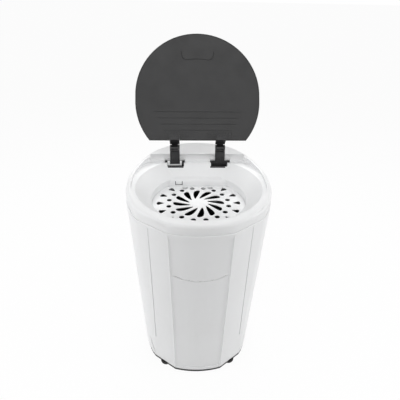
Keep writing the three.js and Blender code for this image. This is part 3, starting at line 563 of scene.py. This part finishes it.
def addCover(values):
    low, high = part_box("inner_cover")
    top = high[2] * mmInMetre
    radius = (high[0] - low[0]) / 2 * mmInMetre
    work = bmesh.new()
    rim = addLoop(work, coverOutline(values, radius), top)
    bmesh.ops.bevel(work, geom=[rim[0], rim[-1]], offset=metres(values["corner"]), offset_type="OFFSET",
                    affect="VERTICES", segments=values["cornerSteps"], profile=0.5, material=-1,
                    clamp_overlap=False)
    lowerSpot = {}

    def cutOpening(spots):
        for corner, (x, y) in zip(addLoop(work, spots, top), grownLine(spots, values["undercut"])):
            lowerSpot[planKey(corner.co)] = place(x, y, top)

    for index in range(values["petals"]):
        turn = values["petalTurn"] + 360 / values["petals"] * index
        petal = grownLine([spotOn(reach, turn + lean) for reach, lean in values["petal"]], values["grown"])
        cutOpening(throughPoints(petal))
    step = 360 / values["rounds"]
    count = values["roundSteps"]
    ring = [spotOn(values["roundRadius"], 360 / count * k) for k in range(count)]
    for index in range(values["rounds"]):
        x, y = spotOn(values["roundCircle"], step * (index + 0.5))
        cutOpening([(x + dx, y + dy) for dx, dy in ring])
        turn = step * index
        if abs(turn - 90) > step * values["tearGap"]:
            tear = [spotOn(reach, turn + lean) for reach, lean in values["tear"]]
            cutOpening(throughPoints(tear, steps=3))
    wedge = values["wedge"]
    half, deep, taper = wedge["half"], wedge["deep"], wedge["taper"]
    outline = ((-half, deep), (-half + taper, -deep), (half - taper, -deep), (half, deep))
    for side in (-1, 1):
        cutOpening([(side * wedge["across"] + dx, wedge["depth"] + dy) for dx, dy in outline])
    bmesh.ops.triangle_fill(work, use_beauty=True, use_dissolve=False, normal=(0, 0, 1), edges=work.edges[:])
    for part in bmesh.ops.extrude_face_region(work, geom=work.faces[:])["geom"]:
        if isinstance(part, bmesh.types.BMVert):
            spot = lowerSpot.get(planKey(part.co), part.co)
            part.co = (spot.x, spot.y, part.co.z - metres(values["thickness"]))
    bmesh.ops.dissolve_limit(work, angle_limit=math.radians(values["merged"]), verts=work.verts,
                             edges=work.edges)
    bmesh.ops.recalc_face_normals(work, faces=work.faces)
    smoothFaces(work, values["sharp"])
    print("cover faces:", len(work.faces), "volume:", round(work.calc_volume(signed=True) * mmInMetre ** 3))
    piece = addPiece("inner_cover_swirl", work, values, "inner_cover")
    easeEdges(piece, values["edge"], values["easedAbove"])


addCover(cover)
print("inner cover made")


# painted shade: a black sheet on the mouth's rear wall, behind the clip that holds the cover down, standing
# in for the shade in the gap around the clip

catchShadeSheet = {
    **blackCasing,
    "side": 1.5, "below": 1.6, "above": 0.9,  # how far the painted shade reaches past the clip
    "heights": (428.2, 440.5),  # the wall's flat part
    "wallFoot": (79.5, 430),  # depth and height of a point low on the wall
    "lean": 3 / 11,  # the wall goes back this much for each millimetre of height
    "proud": 0.3,
    "thickness": 0.25,
    "edge": 0.1,
}


def addCatchShade(values):
    low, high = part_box("cover_catch")
    left, right = low[0] - metres(values["side"]), high[0] + metres(values["side"])
    bottom = max(low[2] * mmInMetre - values["below"], values["heights"][0])
    top = min(high[2] * mmInMetre + values["above"], values["heights"][1])
    footDepth, footHeight = values["wallFoot"]
    work = bmesh.new()
    bmesh.ops.create_grid(work, x_segments=1, y_segments=1, size=1)
    for vert in work.verts:
        across = right if vert.co.x > 0 else left
        height = top if vert.co.y > 0 else bottom
        depth = footDepth + (height - footHeight) * values["lean"] - values["proud"]
        vert.co = (across, place(0, depth, 0).y, metres(height))
    extrudeFaces(work, work.faces[:], (0, metres(values["thickness"]), 0))
    bevelEdges(work, work.edges[:], values["edge"])
    # the black sheet is painted shade for the gap around the clip
    addPiece("catch_painted_shade", work, values)
    print("catch window from", round(bottom, 1), "to", round(top, 1))


addCatchShade(catchShadeSheet)


# black lips on the deck in front of the two hinge slots

lip = {
    **blackFitting,
    # depth and height of the section's corners
    "section": ((108.8, 464.8), (110.4, 467.4), (110.9, 467.7), (112.4, 467.7), (112.4, 466.3),
                (109.4, 463.8)),
    "spans": {"left": (-74, -35.2), "right": (32, 70)},
    "edge": 0.2,
}


def extrudeOutline(work, corners, shift):
    extrudeFaces(work, [work.faces.new([work.verts.new(spot) for spot in corners])], shift)


def addLips(values):
    for side, (start, end) in values["spans"].items():
        work = bmesh.new()
        extrudeOutline(work, [place(start, depth, height) for depth, height in values["section"]],
                       (metres(end - start), 0, 0))
        bevelEdges(work, work.edges[:], values["edge"])
        addPiece("slot_lip_" + side, work, values)


addLips(lip)


# painted shade: a black strip laid in the slits low on the casing's sides, standing in for the shade in them

slitShade = {
    **blackCasing,
    # across, depth and height of the right slit's line on the casing's surface
    "line": ((111.3, -95.2, 26), (112.7, -94.5, 30.7), (116.1, -90.7, 43.9), (119.2, -87, 54.6),
             (122.2, -82.8, 68)),
    "width": 2.6,
    "below": 0.25,
    "thickness": 0.6,
}


def addSlitShade(values, name, side):
    spots = [Vector(spot) for spot in values["line"]]
    left, right = [], []
    for index, spot in enumerate(spots):
        along = spots[min(index + 1, len(spots) - 1)] - spots[max(index - 1, 0)]
        outward = Vector((spot.x, spot.y, 0)).normalized()
        across = along.cross(outward).normalized() * values["width"] / 2
        centre = spot - outward * values["below"]
        left.append(centre - across)
        right.append(centre + across)
    corners = left + right[::-1]
    if side < 0:
        corners.reverse()
    middle = spots[len(spots) // 2]
    inward = Vector((middle.x * side, middle.y, 0)).normalized() * -metres(values["thickness"])
    work = bmesh.new()
    extrudeOutline(work, [place(corner.x * side, corner.y, corner.z) for corner in corners], inward)
    bmesh.ops.triangulate(work, faces=[face for face in work.faces if len(face.verts) > 4])
    # the black strip is painted shade for the slit's recess
    addPiece(name, work, values)


addSlitShade(slitShade, "side_slit_shade_right", 1)
addSlitShade(slitShade, "side_slit_shade_left", -1)


# low ribs down the two edges of the front panel

rib = {
    **whiteCasing,
    # across, depth and height of the right rib's line
    "line": ((65.0, -152.7, 449), (62.6, -147.3, 316), (60.0, -141.2, 166), (57.8, -134.3, 14)),
    "aside": 5,  # the rib stands out straight to the front, turned by this to its own side
    "width": 3.4,
    # share of the half width, and how far the section's corner stands out there
    "section": ((-1, -0.7), (-0.8, 0), (-0.2, 1.3), (0.2, 1.3), (0.8, 0), (1, -0.7)),
    "sharp": 50,
    "edge": 0.3,
    "easedAbove": 60,
}


def addRib(values, name, side):
    aside = math.radians(values["aside"])
    outward = Vector((math.sin(aside), -math.cos(aside), 0))
    across = outward.cross(Vector((0, 0, 1))) * values["width"] / 2
    rows = []
    for spot in values["line"]:
        section = [Vector(spot) + across * share + outward * proud for share, proud in values["section"]]
        rows.append([place(corner.x * side, corner.y, corner.z) for corner in section])
    work = bmesh.new()
    face = work.faces.new([work.verts.new(corner) for corner in rows[0]])
    for row in rows[1:]:
        made = bmesh.ops.extrude_face_region(work, geom=[face])["geom"]
        face = next(part for part in made if isinstance(part, bmesh.types.BMFace))
        for vert, corner in zip(face.verts, row):
            vert.co = corner
    bmesh.ops.recalc_face_normals(work, faces=work.faces)
    smoothFaces(work, values["sharp"])
    easeEdges(addPiece(name, work, values), values["edge"], values["easedAbove"])


addRib(rib, "panel_rib_right", 1)
addRib(rib, "panel_rib_left", -1)
print("slot lips, side slits and panel ribs made")


# floor and light, in metres and watts

studio = {
    "floor": 0.9,
    "floorRoughness": 0.9,
    "floorGlow": 0.94,  # how far the floor shows as plain white to the rays that see the background
    "floorHalf": 60,
    "floorLevel": -0.0003,
    "sky": 0.46,
}
lamps = {
    "overhead": {"power": 6.2, "size": (1.4, 1.2), "spot": (0, -0.3, 1.9), "target": (0, 0, 0.4)},
    "leftSide": {"power": 8.2, "size": (0.7, 1.3), "spot": (-1.5, -0.38, 0.85), "target": (0, 0, 0.35)},
    "rightSide": {"power": 8.2, "size": (0.7, 1.3), "spot": (1.5, -0.38, 0.85), "target": (0, 0, 0.35)},
    "front": {"power": 0.5, "size": (1.2, 0.8), "spot": (0, -1.9, 1.2), "target": (0, 0, 0.4)},
    "back": {"power": 8, "size": (1.2, 0.6), "spot": (0, 1.2, 1.35), "target": (0, 0.1, 0.48)},
    "rearDeckFill": {"power": 0.03, "size": (0.3, 0.16), "spot": (0, -0.62, 0.86), "target": (0, 0.12, 0.5),
                     "spread": 34},
}


def backgroundRays(tree):
    # 1 for the rays that see the background: straight from the camera, off gloss or through glass
    seen = tree.nodes.new("ShaderNodeLightPath").outputs
    either = mathNode(tree, "MAXIMUM", seen["Is Camera Ray"], seen["Is Glossy Ray"])
    return mathNode(tree, "MAXIMUM", either, seen["Is Transmission Ray"])


def addFloor(values):
    work = bmesh.new()
    bmesh.ops.create_grid(work, x_segments=2, y_segments=2, size=values["floorHalf"])
    mesh = bpy.data.meshes.new("floor")
    work.to_mesh(mesh)
    work.free()
    floor = bpy.data.objects.new("floor", mesh)
    scene.collection.objects.link(floor)
    floor.location.z = values["floorLevel"]
    made = bpy.data.materials.new("paleFloor")
    made.use_nodes = True
    tree = made.node_tree
    plain = feed(tree, tree.nodes["Principled BSDF"], {
        "Base Color": (values["floor"],) * 3 + (1,), "Roughness": values["floorRoughness"]})
    glow = tree.nodes.new("ShaderNodeEmission")
    mix = feed(tree, tree.nodes.new("ShaderNodeMixShader"), {
        "Fac": mathNode(tree, "MULTIPLY", backgroundRays(tree), values["floorGlow"]),
        1: plain.outputs["BSDF"], 2: glow.outputs["Emission"]})
    feed(tree, tree.nodes["Material Output"], {"Surface": mix.outputs["Shader"]})
    mesh.materials.append(made)


def addWorld(values):
    world = bpy.data.worlds.new("studio")
    scene.world = world
    world.use_nodes = True
    tree = world.node_tree
    feed(tree, tree.nodes["Background"], {
        "Color": (1, 1, 1, 1),
        "Strength": rangeNode(tree, backgroundRays(tree), values["sky"], 1.0, 0.0, 1.0)})


def addLamp(name, values):
    data = bpy.data.lights.new(name, "AREA")
    data.shape = "RECTANGLE"
    data.size, data.size_y = values["size"]
    data.energy = values["power"]
    data.spread = math.radians(values.get("spread", 180))
    lamp = bpy.data.objects.new(name, data)
    scene.collection.objects.link(lamp)
    aim = Vector(values["target"]) - Vector(values["spot"])
    lamp.location = values["spot"]
    lamp.rotation_mode = "QUATERNION"
    lamp.rotation_quaternion = aim.to_track_quat("-Z", "Y")


addFloor(studio)
addWorld(studio)
for lampName, values in lamps.items():
    addLamp(lampName, values)
print("floor and light set")
